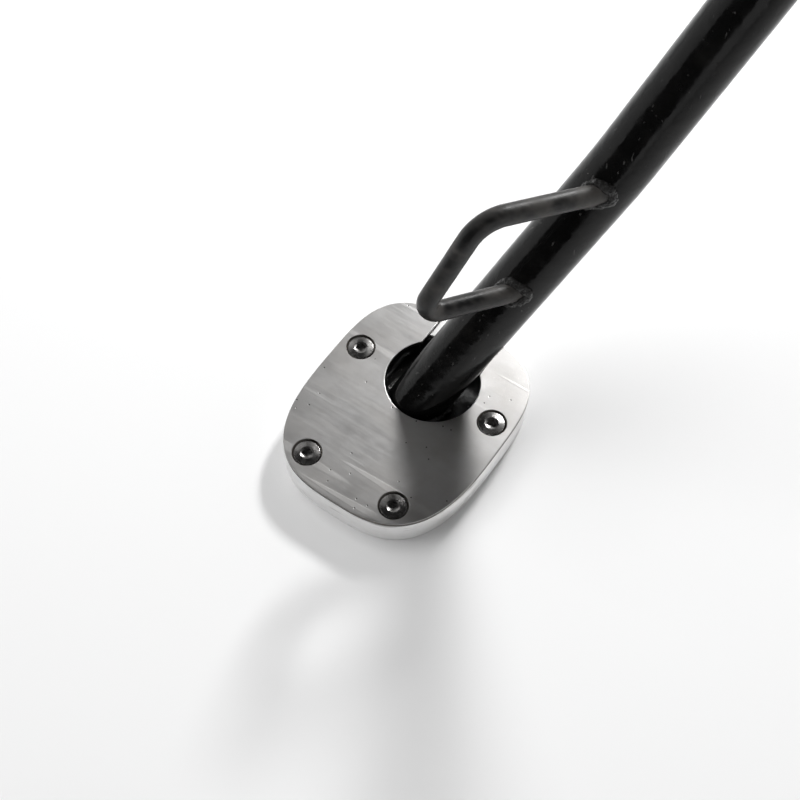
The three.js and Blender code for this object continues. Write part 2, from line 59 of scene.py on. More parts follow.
# ------------------------------------------------------------------ sizes
TUBE_RADIUS = 11.9 * MM
TUBE_WALL = 2.6 * MM
TUBE_START = 50 * MM  # from the pivot
TUBE_BEND = 18 * MM
UPPER_LEG = (35.7, 64.4)  # degrees off vertical, and from +X in plan
LOWER_LEG = (37.1, 60.7)
LOWER_LEG_LENGTH = 131 * MM
LEG_FOOT = Vector((-0.8, -5.4, -8)) * MM  # from the foot's centre
TRAVEL = 100  # degrees

PLATE_HALF_WIDTH = 41.4 * MM
PLATE_TOE = 57.5 * MM
PLATE_HEEL = 43 * MM
PLATE_MIDDLE = -8 * MM
HEEL_POWER, TOE_POWER = 3.3, 3  # of the two half superellipses
TOP_THICKNESS = 2 * MM
BASE_THICKNESS = 12 * MM
BASE_FLOOR = 2.5 * MM
PLATE_FILLET = 0.28 * MM
BASE_FILLET = 0.9 * MM
SHEET_GAP = 0.05 * MM  # between pieces that lie on one another
KEYHOLE = Vector((1.6, 3.2, 0)) * MM
KEYHOLE_RADIUS = 19.8 * MM
SLOT_SIDES = (-12.8 * MM, 16 * MM)
STOCK_HALF_WIDTH = 22.5 * MM
STOCK_ENDS = (-30 * MM, 23.2 * MM)  # toe, heel
STOCK_HEEL_CORNER = 14 * MM
STOCK_FLOOR = 4 * MM
STOCK_RIM = 2.4 * MM
POCKET_CLEARANCE = 0.6 * MM
SCREWS = ((-32.5, 0), (32.5, 0), (-20.9, -53.7), (20.9, -53.7))  # in mm, from the foot's centre
SCREW_HOLE = ((6.3, 0), (6.22, -0.06), (6.2, -0.3), (3.25, -3.35), (3.15, -3.6))  # radius, height

LOOP_RADIUS = 4 * MM
LOOP_SIDE = 7 * MM
LOOP_WELDS = ((74.4, 5), (125.2, 5))  # along the leg and out from it, in mm
LOOP_CORNERS = ((52, 42.9), (99.9, 49))
LOOP_BENDS = (6.5, 14)

EAR_INSIDE = 6.4 * MM
EAR_OUTSIDE = 13.4 * MM
FORK_WIDTH = 28 * MM
FORK_END = 17 * MM
SLOT_DEPTH = 24 * MM
NECK_END = 42 * MM
PIN_RADIUS = 7 * MM
SPRING_PLANE = 32 * MM
POST_REACHES = (30 * MM, 70 * MM)  # upper post towards the mount, lower post down the leg
POST_RADIUS = 4.5 * MM
MOUNT_WIDTH = 128 * MM
MOUNT_HEIGHT = 44 * MM
MOUNT_THICKNESS = 10 * MM
BOLT_SPACING = 92 * MM

# ------------------------------------------------------------------ places


def direction(tilt, heading):
    tilt, heading = math.radians(tilt), math.radians(heading)
    flat = math.sin(tilt)
    return Vector((flat * math.cos(heading), flat * math.sin(heading), math.cos(tilt)))


def basis(origin, x, y, z):
    matrix = Matrix((x, y, z)).transposed().to_4x4()
    matrix.translation = origin
    return matrix


record = frame["record"]
joints = {joint["name"]: joint for joint in frame["joints"]}
PIVOT = Vector(joints["leg_pivot"]["pos_m"])
AXLE = Vector(joints["leg_pivot"]["axis"]).normalized()
base_low, base_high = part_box("foot_base_plate")
top_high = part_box("foot_top_plate")[1]
FOOT = Vector((
    (base_low.x + base_high.x) / 2,
    base_high.y - PLATE_HEEL - PLATE_MIDDLE,
    top_high.z,
))
STOCK_TOP = FOOT.z - TOP_THICKNESS - BASE_THICKNESS + BASE_FLOOR + STOCK_FLOOR
upper_up = direction(*UPPER_LEG)
lower_up = direction(*LOWER_LEG)
leg_foot = FOOT + LEG_FOOT
leg_bend = leg_foot + lower_up * LOWER_LEG_LENGTH
leg_down = (leg_bend - PIVOT).normalized()
swing = AXLE.cross(leg_down).normalized()
leg_frame = basis(PIVOT, leg_down, swing, AXLE)

lug_angle = math.radians(TRAVEL / 2 + 180)
to_mount = leg_down * math.cos(lug_angle) + swing * math.sin(lug_angle)
lug_frame = basis(PIVOT, to_mount, AXLE.cross(to_mount), AXLE)

mount_axis = Vector(record["mounts"][0]["axis"]).normalized()
mount_x = Vector((1, 0, 0))
mount_frame = basis(Vector(), mount_x, mount_x.cross(mount_axis), -mount_axis)

loop_out = Vector((-0.546, -0.825, 0.144))
loop_out = (loop_out - lower_up * loop_out.dot(lower_up)).normalized()
loop_normal = lower_up.cross(loop_out)
loop_frame = basis(leg_foot, lower_up, loop_out, loop_normal)

spring_top = PIVOT + to_mount * POST_REACHES[0] + AXLE * SPRING_PLANE
spring_bottom = PIVOT + leg_down * POST_REACHES[1] + AXLE * SPRING_PLANE
spring_length = (spring_bottom - spring_top).length
spring_along = (spring_bottom - spring_top).normalized()
spring_frame = basis(spring_top, spring_along, AXLE.cross(spring_along), AXLE)

# ------------------------------------------------------------------ mesh tools


class MeshMaker:
    """Gathers rings of points into walls and flat caps, and builds one closed mesh from them."""

    def __init__(self):
        self.points = []
        self.faces = []
        self.caps = set()

    def ring(self, points):
        start = len(self.points)
        self.points.extend(Vector(p) for p in points)
        return list(range(start, len(self.points)))

    def turn(self, radius, z, sides=FINE):
        """A circle about Z, or one point on the axis. Sizes are in millimetres."""
        if radius == 0:
            return self.ring([(0, 0, z * MM)])
        return self.ring(circle(radius * MM, z * MM, sides))

    def turns(self, profile, sides=FINE):
        return [self.turn(radius, z, sides) for radius, z in profile]

    def hexagon(self, across, z, limit=math.inf):
        """A hexagon about Z, cut off by a circle where there is a limit. Sizes are in millimetres."""
        return self.ring(hex_ring(across * MM, z * MM, limit * MM))

    def wall(self, rings, closed=False):
        pairs = list(zip(rings, rings[1:]))
        if closed:
            pairs.append((rings[-1], rings[0]))
        for a, b in pairs:
            count = max(len(a), len(b))
            for i in range(count):
                j = (i + 1) % count
                if len(a) == 1:
                    self.faces.append((a[0], b[i], b[j]))
                elif len(b) == 1:
                    self.faces.append((a[i], b[0], a[j]))
                else:
                    self.faces.append((a[i], b[i], b[j], a[j]))

    def cap(self, rings):
        flat = [index for ring in rings for index in ring]
        triangles = tessellate_polygon([[self.points[i] for i in ring] for ring in rings])
        for triangle in triangles:
            self.caps.add(len(self.faces))
            self.faces.append(tuple(flat[i] for i in triangle))

    def build(self, name, matrix=None, sharp=35):
        mesh = bpy.data.meshes.new(name)
        mesh.from_pydata(self.points, [], self.faces)
        if matrix is not None:
            mesh.transform(matrix)
        work = bmesh.new()
        work.from_mesh(mesh)
        work.faces.ensure_lookup_table()
        for edge in work.edges:
            on_cap = [face.index in self.caps for face in edge.link_faces]
            angle = edge.calc_face_angle(0)
            edge.smooth = not (any(on_cap) and not all(on_cap)) and angle < math.radians(sharp)
        for face in work.faces:
            face.smooth = True
        bmesh.ops.remove_doubles(work, verts=work.verts, dist=1e-7)
        bmesh.ops.recalc_face_normals(work, faces=work.faces)
        work.to_mesh(mesh)
        work.free()
        return mesh


def circle(radius, z=0.0, sides=64, centre=(0, 0)):
    angles = [math.tau * i / sides for i in range(sides)]
    return [Vector((centre[0] + radius * math.cos(a), centre[1] + radius * math.sin(a), z)) for a in angles]


def rounded_profile(corners, steps=4):
    """Turns (radius, z, fillet) corners into a profile whose corners are rounded by their fillets."""
    points = []
    for i, (r, z, fillet) in enumerate(corners):
        here = Vector((r, z))
        if fillet == 0 or i in (0, len(corners) - 1):
            points.append(here)
            continue
        before = Vector(corners[i - 1][:2]) - here
        after = Vector(corners[i + 1][:2]) - here
        start = here + before.normalized() * min(fillet, before.length / 2)
        end = here + after.normalized() * min(fillet, after.length / 2)
        for step in range(steps + 1):
            t = step / steps
            points.append(start * (1 - t) ** 2 + here * 2 * t * (1 - t) + end * t**2)
    return points


def turned(corners):
    """A solid of revolution about Z. Corners are (radius, z, fillet) in millimetres, axis to axis."""
    maker = MeshMaker()
    maker.wall(maker.turns(rounded_profile(corners), 64))
    return maker


def turned_ring(corners):
    """A ring whose profile closes on itself away from the axis."""
    maker = MeshMaker()
    profile = rounded_profile([corners[-1], *corners, corners[0]], 3)[1:-1]
    maker.wall(maker.turns(profile, 64), closed=True)
    return maker


def hex_ring(across, z, limit):
    """A hexagon with its corners rounded off a little, and cut back to the limiting radius."""
    corner = across / math.sqrt(3)
    points = []
    for i in range(FINE):
        angle = math.tau * i / FINE
        sector = (angle + math.pi / 6) % (math.pi / 3) - math.pi / 6
        radius = min(across / 2 / math.cos(sector), corner * 0.94, limit)
        points.append((radius * math.cos(angle), radius * math.sin(angle), z))
    return points


def thread_rings(maker, radius, depth, pitch, low, high):
    """Rings of a screw thread, from its high end down to its low end, fading in at both ends."""
    radius, depth, pitch, low, high = (size * MM for size in (radius, depth, pitch, low, high))
    rings = []
    count = int((high - low) / pitch * 10)
    for i in range(count + 1):
        z = low + (high - low) * i / count
        fade = min(1, (z - low) / pitch, (high - z) / pitch)
        points = []
        for k in range(FINE):
            turn = k / FINE
            phase = (z / pitch - turn) % 1
            cut = depth * (1 - abs(2 * phase - 1)) * max(fade, 0)
            angle = math.tau * turn
            points.append(((radius - cut) * math.cos(angle), (radius - cut) * math.sin(angle), z))
        rings.append(maker.ring(points))
    return rings[::-1]


def frames_along(path, closed=False):
    """A tangent and two square directions at each point of a path, carried without twist."""
    count = len(path)
    tangents = []
    for i in range(count):
        if closed:
            tangent = path[(i + 1) % count] - path[i - 1]
        else:
            tangent = path[min(i + 1, count - 1)] - path[max(i - 1, 0)]
        tangents.append(tangent.normalized())
    side = tangents[0].orthogonal().normalized()
    frames = []
    for tangent in tangents:
        side = (side - tangent * side.dot(tangent)).normalized()
        frames.append((tangent, side, tangent.cross(side)))
    return frames


def swept(path, radius, sides=24, closed=False, ends="flat"):
    """A round section swept along a path. radius is a number or a function of (point, index, way)."""
    maker = MeshMaker()
    rings = []
    frames = frames_along(path, closed)
    for i, (point, (_, side, other)) in enumerate(zip(path, frames)):
        ring = []
        for k in range(sides):
            turn = k / sides
            way = side * math.cos(math.tau * turn) + other * math.sin(math.tau * turn)
            size = radius(point, i, way) if callable(radius) else radius
            ring.append(point + way * size)
        rings.append(maker.ring(ring))
    maker.wall(rings, closed=closed)
    if not closed and ends == "flat":
        maker.cap([rings[0]])
        maker.cap([rings[-1]])
    if not closed and ends == "round":
        for index, sign in ((0, -1), (-1, 1)):
            tangent = frames[index][0] * sign
            centre = path[index]
            last = rings[index]
            for angle in (30, 60, 90):
                reach = radius * math.sin(math.radians(angle))
                shrink = math.cos(math.radians(angle))
                points = [
                    centre + (maker.points[v] - centre) * shrink + tangent * reach
                    for v in rings[index]
                ]
                ring = maker.ring(points if angle < 90 else [centre + tangent * reach])
                maker.wall([last, ring])
                last = ring
    return maker


def bent_path(corners, radii, steps, spacing):
    """Straight runs joined by round bends, as evenly spaced points."""
    pieces = [corners[0]]
    for i, radius in enumerate(radii):
        corner = corners[i + 1]
        back = (corners[i] - corner).normalized()
        forward = (corners[i + 2] - corner).normalized()
        half = back.angle(forward) / 2
        centre = corner + (back + forward).normalized() * (radius / math.sin(half))
        first = corner + back * (radius / math.tan(half)) - centre
        last = corner + forward * (radius / math.tan(half)) - centre
        for step in range(steps + 1):
            pieces.append(centre + first.slerp(last, step / steps).normalized() * radius)
    pieces.append(corners[-1])
    path = [pieces[0]]
    for a, b in zip(pieces, pieces[1:]):
        count = max(1, round((b - a).length / spacing))
        path.extend(a.lerp(b, k / count) for k in range(1, count + 1))
    return path


def lumps(point, size):
    """Smooth noise between about -1 and 1, with features of the given size."""
    return noise.noise(point / size)


def hermite(start, start_way, end, end_way, steps):
    points = []
    for i in range(1, steps):
        t = i / steps
        points.append(
            start * (2 * t**3 - 3 * t**2 + 1)
            + start_way * (t**3 - 2 * t**2 + t)
            + end * (3 * t**2 - 2 * t**3)
            + end_way * (t**3 - t**2)
        )
    return points


def offset_loop(points, distance):
    """Moves a loop's points sideways, to the left of the way it runs, with mitred corners."""
    moved = []
    count = len(points)
    for i, point in enumerate(points):
        before = (point - points[i - 1]).normalized()
        after = (points[(i + 1) % count] - point).normalized()
        left_before = Vector((-before.y, before.x, 0))
        left_after = Vector((-after.y, after.x, 0))
        way = (left_before + left_after).normalized()
        reach = distance / max(way.dot(left_before), 0.5)
        moved.append(point + way * reach)
    return moved


def arc(centre, radius, start, end, steps):
    points = []
    for i in range(steps + 1):
        angle = math.radians(start + (end - start) * i / steps)
        points.append(Vector((
            centre[0] + radius * math.cos(angle),
            centre[1] + radius * math.sin(angle),
            0,
        )))
    return points


def rim_rings(maker, loop, top, bottom, fillet, steps=4):
    """The wall round an outline that runs anticlockwise, from its top edge to its bottom edge."""
    levels = []
    for i in range(steps + 1):
        angle = math.pi / 2 * i / steps
        levels.append((fillet * (1 - math.sin(angle)), top - fillet * (1 - math.cos(angle))))
    for i in range(steps, -1, -1):
        angle = math.pi / 2 * i / steps
        levels.append((fillet * (1 - math.sin(angle)), bottom + fillet * (1 - math.cos(angle))))
    rings = []
    for inset, z in levels:
        rings.append(maker.ring([Vector((p.x, p.y, z)) for p in offset_loop(loop, inset)]))
    return rings


# ------------------------------------------------------------------ materials


class Shading:
    """A node material in the making: one Principled shader and short calls for its textures."""

    def __init__(self, name, **inputs):
        self.material = bpy.data.materials.new(name)
        self.material.use_nodes = True
        self.tree = self.material.node_tree
        self.shader = self.tree.nodes["Principled BSDF"]
        for key, value in inputs.items():
            self.shader.inputs[key.replace("_", " ")].default_value = value
        self.place = self.tree.nodes.new("ShaderNodeTexCoord").outputs["Object"]

    def node(self, kind, inputs=(), **settings):
        made = self.tree.nodes.new(kind)
        for key, value in settings.items():
            setattr(made, key, value)
        for key, value in dict(inputs).items():
            if isinstance(value, bpy.types.NodeSocket):
                self.tree.links.new(value, made.inputs[key])
            else:
                made.inputs[key].default_value = value
        return made

    def set(self, key, value):
        self.tree.links.new(value, self.shader.inputs[key])

    def stretch(self, scale, rotation=(0, 0, 0)):
        made = self.node("ShaderNodeMapping", {
            "Vector": self.place, "Scale": scale, "Rotation": rotation,
        })
        return made.outputs["Vector"]

    def noise(self, scale, detail=3, roughness=0.55, place=None, distortion=0.0):
        made = self.node("ShaderNodeTexNoise", {
            "Vector": place or self.place,
            "Scale": scale,
            "Detail": detail,
            "Roughness": roughness,
            "Distortion": distortion,
        })
        return made.outputs["Fac"]

    def cells(self, scale, dimensions="3D"):
        inputs = {"Vector": self.place, "Scale": scale}
        return self.node("ShaderNodeTexVoronoi", inputs, voronoi_dimensions=dimensions)

    def band(self, value, low, high, out_low=0.0, out_high=1.0):
        made = self.node("ShaderNodeMapRange", {
            "Value": value,
            "From Min": low,
            "From Max": high,
            "To Min": out_low,
            "To Max": out_high,
        })
        made.clamp = True
        return made.outputs["Result"]

    def math(self, operation, a, b=0.0):
        made = self.node("ShaderNodeMath", {0: a, 1: b}, operation=operation)
        return made.outputs["Value"]

    def blend(self, factor, a, b):
        made = self.node("ShaderNodeMix", data_type="RGBA")
        for key, value in (("Factor_Float", factor), ("A_Color", a), ("B_Color", b)):
            socket = next(s for s in made.inputs if s.identifier == key)
            if isinstance(value, bpy.types.NodeSocket):
                self.tree.links.new(value, socket)
            else:
                socket.default_value = value
        return next(s for s in made.outputs if s.identifier == "Result_Color")

    def bump(self, layers):
        """Stacks (height, strength, distance) layers into the shader's normal."""
        normal = None
        for height, strength, distance in layers:
            inputs = {"Height": height, "Strength": strength, "Distance": distance}
            if normal is not None:
                inputs["Normal"] = normal
            normal = self.node("ShaderNodeBump", inputs).outputs["Normal"]
        self.set("Normal", normal)


def grey(value, warmth=0.0):
    return (value * (1 + warmth), value, value * (1 - warmth), 1)


def black_paint():
    """Gloss black paint over steel: orange peel, dust, hairline scratches and a few chips."""
    s = Shading("gloss_black_paint", IOR=1.5, Specular_IOR_Level=0.27)
    dust = s.band(s.noise(55, 6, 0.65), 0.5, 0.8)
    specks = s.band(s.cells(420).outputs["Distance"], 0.0, 0.09, 1, 0)
    rare = s.band(s.noise(70, 2), 0.58, 0.62)
    specks = s.math("MULTIPLY", specks, rare)
    colour = s.blend(dust, grey(0.003), grey(0.009, 0.06))
    scratch = s.band(s.noise(650, 2, 0.4, s.stretch((1, 1, 0.03), (0.5, 0.35, 0.2))), 0.71, 0.74)
    colour = s.blend(s.math("MULTIPLY", scratch, 0.5), colour, grey(0.08, 0.02))
    colour = s.blend(specks, colour, grey(0.28, 0.03))
    s.set("Base Color", colour)
    wear = s.noise(130, 5, 0.6)
    s.set("Roughness", s.band(wear, 0.35, 0.75, 0.09, 0.32))
    s.bump([
        (s.noise(230, 2, 0.4), 0.24, 0.0007),
        (scratch, 0.2, 0.0001),
        (specks, 0.25, 0.0003),
    ])
    return s.material


def worn_paint():
    """Black paint dulled by boots and road dust, rubbed in streaks along the rods."""
    s = Shading("worn_black_paint", IOR=1.45)
    streak = s.noise(420, 3, 0.55, s.stretch((0.12, 0.2, 0.2)))
    patch = s.band(s.noise(60, 4, 0.6), 0.4, 0.65)
    dusty = s.math("MULTIPLY", s.band(streak, 0.42, 0.6), s.band(patch, 0, 1, 0.45, 1))
    s.set("Base Color", s.blend(dusty, grey(0.006), grey(0.062, 0.08)))
    s.set("Roughness", s.band(streak, 0.38, 0.6, 0.3, 0.56))
    s.bump([
        (s.noise(600, 4, 0.6), 0.18, 0.0005),
        (s.band(streak, 0.5, 0.7), 0.1, 0.0003),
    ])
    return s.material


def bracket_paint():
    """Satin black paint over the skin of a forging."""
    s = Shading("satin_black_paint", IOR=1.5)
    dust = s.band(s.noise(45, 6, 0.65), 0.45, 0.8)
    s.set("Base Color", s.blend(dust, grey(0.012), grey(0.028, 0.05)))
    s.set("Roughness", s.band(s.noise(140, 4), 0.3, 0.7, 0.3, 0.45))
    s.bump([
        (s.noise(420, 5, 0.6), 0.25, 0.0008),
        (s.noise(90, 2, 0.5), 0.2, 0.0015),
    ])
    return s.material


def painted_weld():
    """Black paint over a weld bead: sharp little ridges that catch the light."""
    s = Shading("painted_weld", IOR=1.5)
    spatter = s.band(s.cells(900).outputs["Distance"], 0.0, 0.3, 1, 0)
    s.set("Base Color", s.blend(s.noise(300, 4), grey(0.007), grey(0.022, 0.04)))
    s.set("Roughness", s.band(s.noise(500, 3), 0.3, 0.7, 0.1, 0.26))
    s.bump([
        (s.noise(520, 4, 0.6), 0.8, 0.0016),
        (spatter, 0.5, 0.0008),
    ])
    return s.material


def stainless():
    """Satin stainless sheet: grain, rubbed blotches, pits and scratches, and painted shade on the side
    wall, keyhole wall and countersinks.
    """
    s = Shading("satin_stainless", Metallic=1.0)
    blotch = s.band(s.noise(38, 5, 0.6, distortion=0.4), 0.35, 0.7)
    colour = s.blend(blotch, grey(0.64, 0.01), grey(0.53, 0.025))
    rubbed = s.noise(70, 5, 0.65, s.stretch((0.3, 1, 1), (0, 0, 0.95)), distortion=0.6)
    colour = s.blend(s.band(rubbed, 0.5, 0.68, 0, 0.22), colour, (0.5, 0.48, 0.45, 1))
    spots = s.cells(260, dimensions="2D").outputs
    cluster = s.band(s.noise(45, 3), 0.5, 0.56, 0, 0.14)
    chosen = s.math("LESS_THAN", spots["Color"], s.math("ADD", cluster, 0.13))
    pit = s.math("MULTIPLY", s.band(spots["Distance"], 0.05, 0.1, 1, 0), chosen)
    colour = s.blend(pit, colour, grey(0.02))
    # Painted shade: everything more than 0.12 mm below the top face (side wall, keyhole wall and
    # countersinks) turns dark, as if in shadow.
    height = s.node("ShaderNodeSeparateXYZ", {"Vector": s.place}).outputs["Z"]
    edge = s.band(height, FOOT.z - 0.35 * MM, FOOT.z - 0.12 * MM, 1, 0)
    s.set("Base Color", s.blend(edge, colour, (0.13, 0.12, 0.11, 1)))
    scratches = []
    for scale, turn in ((90, 0.5), (110, -0.8), (130, 1.3)):
        stretched = s.stretch((0.05, 1, 1), (0, 0, turn))
        scratches.append(s.band(s.noise(scale, 2, 0.4, stretched), 0.67, 0.69))
    scratch = s.math("MAXIMUM", s.math("MAXIMUM", scratches[0], scratches[1]), scratches[2])
    grain = s.noise(900, 3, 0.6, s.stretch((0.04, 1, 1)))
    rough = s.band(s.noise(60, 5, 0.65), 0.3, 0.7, 0.35, 0.42)
    rough = s.math("ADD", rough, s.band(grain, 0.3, 0.7, -0.02, 0.02))
    rough = s.math("ADD", rough, s.band(rubbed, 0.45, 0.7, 0, 0.03))
    rough = s.math("ADD", rough, s.math("MULTIPLY", scratch, 0.06))
    s.set("Roughness", rough)
    s.bump([
        (grain, 0.05, 0.0002),
        (s.noise(1500, 2), 0.05, 0.0001),
        (scratch, 0.2, 0.0001),
        (s.math("MULTIPLY", pit, -1.0), 0.25, 0.0003),
    ])
    return s.material


def aluminium():
    """Milled aluminium gone dull: cutter lines down its edge, stains, nicks and long scuffs."""
    s = Shading("milled_aluminium", Metallic=0.85)
    stain = s.band(s.noise(55, 5, 0.6), 0.35, 0.72)
    colour = s.blend(stain, grey(0.93, 0.0), grey(0.8, 0.01))
    scuff = s.band(s.noise(130, 4, 0.6, s.stretch((0.3, 0.3, 2.5))), 0.56, 0.66)
    s.set("Base Color", s.blend(s.math("MULTIPLY", scuff, 0.55), colour, grey(0.4, 0.02)))
    cutter = s.noise(500, 2, 0.5, s.stretch((1, 1, 0.03)))
    s.set("Roughness", s.band(s.noise(80, 4), 0.3, 0.7, 0.42, 0.56))
    s.bump([
        (cutter, 0.08, 0.0003),
        (s.noise(1800, 2), 0.1, 0.0001),
        (scuff, 0.12, 0.0002),
    ])
    return s.material


def mottled_metal(name, light, dark, rough_low, rough_high):
    """Plated or bare metal, mottled between two colours, with grime and a fine tooth."""
    s = Shading(name, Metallic=1.0)
    mottle = s.band(s.noise(240, 5, 0.65), 0.35, 0.7)
    grime = s.band(s.noise(90, 4, 0.6), 0.5, 0.75)
    colour = s.blend(mottle, light, dark)
    colour = s.blend(grime, colour, tuple(c * 0.55 for c in dark[:3]) + (1,))
    s.set("Base Color", colour)
    s.set("Roughness", s.band(s.noise(310, 4), 0.3, 0.7, rough_low, rough_high))
    s.bump([
        (s.noise(1400, 3, 0.6), 0.1, 0.0002),
        (s.noise(420, 3, 0.5), 0.06, 0.0004),
    ])
    return s.material


MATERIALS = {
    "black_paint": black_paint(),
    "worn_paint": worn_paint(),
    "bracket_paint": bracket_paint(),
    "painted_weld": painted_weld(),
    "stainless": stainless(),
    "aluminium": aluminium(),
    "screw_steel": mottled_metal("screw_steel", grey(0.36, 0.02), grey(0.16, 0.03), 0.2, 0.34),
    "zinc_steel": mottled_metal("zinc_steel", (0.56, 0.57, 0.6, 1), (0.42, 0.42, 0.41, 1), 0.24, 0.36),
    "bronze": mottled_metal("sintered_bronze", (0.5, 0.32, 0.14, 1), (0.3, 0.18, 0.08, 1), 0.35, 0.5),
    "spring_steel": mottled_metal("spring_steel", (0.5, 0.51, 0.54, 1), grey(0.34), 0.22, 0.36),
}
SLOTS = {part["node"]: part["material_slot"] for part in record["subparts"]}
BODIES = {n: body for body, nodes in record["behaviour"]["bodies"].items() for n in nodes}


def new_object(name, data):
    piece = bpy.data.objects.new(name, data)
    bpy.context.scene.collection.objects.link(piece)
    return piece


def add_piece(node, mesh, finish=None):
    """Shows a fine mesh in place of its CAD node, on the same body, in its slot's material unless another
    finish is given.
    """
    piece = new_object("fine_" + node, mesh)
    mesh.materials.clear()
    mesh.materials.append(MATERIALS[finish or SLOTS[node]])
    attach(piece, BODIES[node])
    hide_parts(node)
    return piece


# ------------------------------------------------------------------ foot


def foot_outline(steps=44):
    """Two half superellipses that meet at the plate's widest line."""
    points = []
    for i in range(4 * steps):
        angle = math.pi / 2 * i / steps
        c, s = math.cos(angle), math.sin(angle)
        power = HEEL_POWER if s >= 0 else TOE_POWER
        length = PLATE_HEEL if s >= 0 else PLATE_TOE
        x = PLATE_HALF_WIDTH * math.copysign(abs(c) ** (2 / power), c)
        y = PLATE_MIDDLE + length * math.copysign(abs(s) ** (2 / power), s)
        points.append(Vector((x, y, 0)))
    return points


def heel_edge(x):
    """How far back the plate reaches at a distance from its middle line."""
    return PLATE_MIDDLE + PLATE_HEEL * (1 - abs(x / PLATE_HALF_WIDTH) ** HEEL_POWER) ** (1 / HEEL_POWER)


def top_plate_outline():
    """The foot's outline with the keyhole let in from the heel."""
    left, right = SLOT_SIDES
    outline = [p for p in foot_outline() if not (p.y > 0 and left <= p.x <= right)]
    split = next(i for i, p in enumerate(outline) if p.y > 0 and p.x < left)
    start = math.degrees(math.acos((right - KEYHOLE.x) / KEYHOLE_RADIUS))
    end = math.degrees(math.acos((left - KEYHOLE.x) / KEYHOLE_RADIUS)) - 360
    hole = arc(KEYHOLE, KEYHOLE_RADIUS, start, end, 72)
    mouth_right, mouth_left = (Vector((x, heel_edge(x), 0)) for x in (right, left))
    return [*outline[:split], mouth_right, *hole, mouth_left, *outline[split:]]


def hole_through(maker, place, top, bottom):
    """A countersunk screw hole, cut off at the given faces of one plate."""
    profile = [(r, z) for r, z in SCREW_HOLE if bottom < z <= top]
    if profile[0][1] < top:
        spread = (3.35 + top) + 3.15
        profile = [(spread, top), *profile]
    last = profile[-1]
    if last[0] > 3.2:
        profile.append((last[0] - (last[1] - bottom), bottom))
    else:
        profile.append((3.15, bottom))
    centre = (place[0] * MM, place[1] * MM)
    return [maker.ring(circle(r * MM, z * MM, 64, centre)) for r, z in profile]


def top_plate():
    maker = MeshMaker()
    rim = rim_rings(maker, top_plate_outline(), 0, -TOP_THICKNESS, PLATE_FILLET)
    walls = [rim, *(hole_through(maker, place, 0, -TOP_THICKNESS / MM) for place in SCREWS)]
    for wall in walls:
        maker.wall(wall)
    maker.cap([wall[0] for wall in walls])
    maker.cap([wall[-1] for wall in walls])
    add_piece("foot_top_plate", maker.build("foot_top_plate", Matrix.Translation(FOOT)))


def stock_outline(extra):
    """Round at the toe and blunter at the heel, grown outwards by extra."""
    toe, heel = STOCK_ENDS
    x = KEYHOLE.x
    corner = STOCK_HEEL_CORNER
    side = STOCK_HALF_WIDTH - corner
    return [
        *arc((x + side, heel - corner), corner + extra, 0, 90, 28),
        *arc((x - side, heel - corner), corner + extra, 90, 180, 28),
        *arc((x, toe + STOCK_HALF_WIDTH), STOCK_HALF_WIDTH + extra, 180, 360, 56),
    ]


def base_plate():
    maker = MeshMaker()
    top = -TOP_THICKNESS - SHEET_GAP
    bottom = -TOP_THICKNESS - BASE_THICKNESS
    rim = rim_rings(maker, foot_outline(), top, bottom, BASE_FILLET)
    edge = stock_outline(POCKET_CLEARANCE)[::-1]
    floor = bottom + BASE_FLOOR
    pocket = []
    for inset, z in ((0.4 * MM, top), (0.1 * MM, top - 0.1 * MM), (0, top - 0.4 * MM), (0, floor)):
        points = offset_loop(edge, inset)
        pocket.append(maker.ring([Vector((p.x, p.y, z)) for p in points]))
    holes = [hole_through(maker, place, top / MM, bottom / MM) for place in SCREWS]
    for wall in (rim, pocket, *holes):
        maker.wall(wall)
    maker.cap([rim[0], pocket[0], *(hole[0] for hole in holes)])
    maker.cap([rim[-1], *(hole[-1] for hole in holes)])
    maker.cap([pocket[-1]])
    add_piece("foot_base_plate", maker.build("foot_base_plate", Matrix.Translation(FOOT)))


def stock_foot():
    """A pressed dish with a rounded rim, lying in the base plate's pocket."""
    maker = MeshMaker()
    bottom = -TOP_THICKNESS - BASE_THICKNESS + BASE_FLOOR + SHEET_GAP
    floor = bottom + STOCK_FLOOR
    rim = -TOP_THICKNESS - 0.15 * MM
    wide = STOCK_RIM / MM
    levels = [(2.2, bottom), (1.2, bottom + 0.2 * MM), (0.35, bottom + 0.9 * MM), (0, bottom + 2 * MM)]
    levels += [(0, rim - 0.8 * MM), (0.35, rim - 0.2 * MM), (0.9, rim)]
    levels += [(wide - 0.8, rim), (wide - 0.2, rim - 0.3 * MM), (wide, rim - 1 * MM)]
    levels += [(wide + 0.1, floor + 1.2 * MM), (wide + 0.5, floor + 0.4 * MM), (wide + 1.6, floor)]
    rings = []
    for inset, z in levels:
        points = stock_outline(-inset * MM)
        rings.append(maker.ring([Vector((p.x, p.y, z)) for p in points]))
    maker.wall(rings)
    maker.cap([rings[0]])
    maker.cap([rings[-1]])
    add_piece("stock_foot", maker.build("stock_foot", Matrix.Translation(FOOT), 50))


def foot_screw(index, place):
    """Countersunk socket screw: a flat top, a thin chamfer, and a hexagonal socket with a raised lip."""
    maker = MeshMaker()
    socket = [maker.turn(0, -2.5), maker.hexagon(3.9, -1.9), maker.hexagon(4, -0.56)]
    head = maker.turns((
        (2.44, -0.47), (2.7, -0.34), (2.86, -0.31), (2.98, -0.34), (5.14, -0.36), (5.28, -0.41),
        (5.4, -0.52), (5.49, -0.68), (5.51, -0.8), (5.46, -0.9), (3, -3.42),
    ))
    thread = thread_rings(maker, 2.95, 0.5, 1, -11, -3.8)
    maker.wall([*socket, *head, *thread, *maker.turns(((2.3, -11.7), (0, -11.7)))])
    spin = Matrix.Rotation(math.radians(17 + 53 * index), 4, "Z")
    spot = Matrix.Translation(FOOT + Vector((place[0], place[1], 0)) * MM)
    node = f"foot_screw_{index + 1}"
    add_piece(node, maker.build(node, spot @ spin, 28))


# ------------------------------------------------------------------ leg


